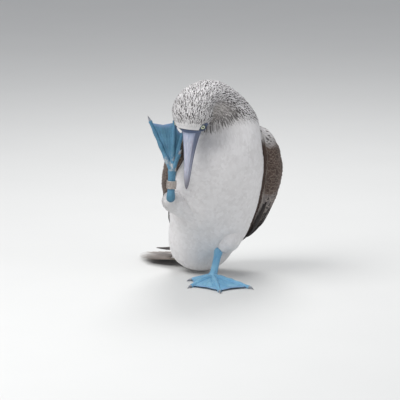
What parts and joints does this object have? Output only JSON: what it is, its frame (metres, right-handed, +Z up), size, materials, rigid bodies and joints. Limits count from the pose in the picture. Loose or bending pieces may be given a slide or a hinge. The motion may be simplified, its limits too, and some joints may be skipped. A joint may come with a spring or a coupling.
{
  "type": "blue footed booby",
  "caption": "Life-size still model of a seabird with bright blue webbed feet that stands on one foot and scratches its bowed head with the other.",
  "frame": {"origin": "on the floor, under the joint where the toes of the standing left foot meet, at the flat of its sole", "axes": "+Z up, -Y the way the breast faces, +X the bird's own left"},
  "size_m": [0.2611, 0.3748, 0.3828],
  "materials": {
    "white_plumage": "soft white body feathers",
    "streaked_plumage": "white feathers streaked with brown",
    "wing_plumage": "dark brown contour and flight feathers",
    "tail_plumage": "grey-brown tail feathers with pale shafts",
    "bill_horn": "satin pale grey-blue horn",
    "eye": "wet, pale yellow iris with a black pupil",
    "foot_skin": "matt bright blue scaled skin",
    "claw_horn": "grey horn",
    "band_metal": "worn dull metal"
  },
  "bodies": {
    "root": {"bill_lower": "bill_horn", "bill_upper": "bill_horn", "claw_left_hind": "claw_horn", "claw_left_inner": "claw_horn", "claw_left_middle": "claw_horn", "claw_left_outer": "claw_horn", "claw_right_hind": "claw_horn", "claw_right_inner": "claw_horn", "claw_right_middle": "claw_horn", "claw_right_outer": "claw_horn", "eye_left": "eye", "eye_right": "eye", "foot_left": "foot_skin", "foot_right": "foot_skin", "head": "streaked_plumage", "leg_band": "band_metal", "neck": "streaked_plumage", "tail": "tail_plumage", "tarsus_left": "foot_skin", "tarsus_right": "foot_skin", "thigh_left": "white_plumage", "thigh_right": "white_plumage", "torso": "white_plumage", "wing_left": "wing_plumage", "wing_right": "wing_plumage"}
  },
  "joints": []
}
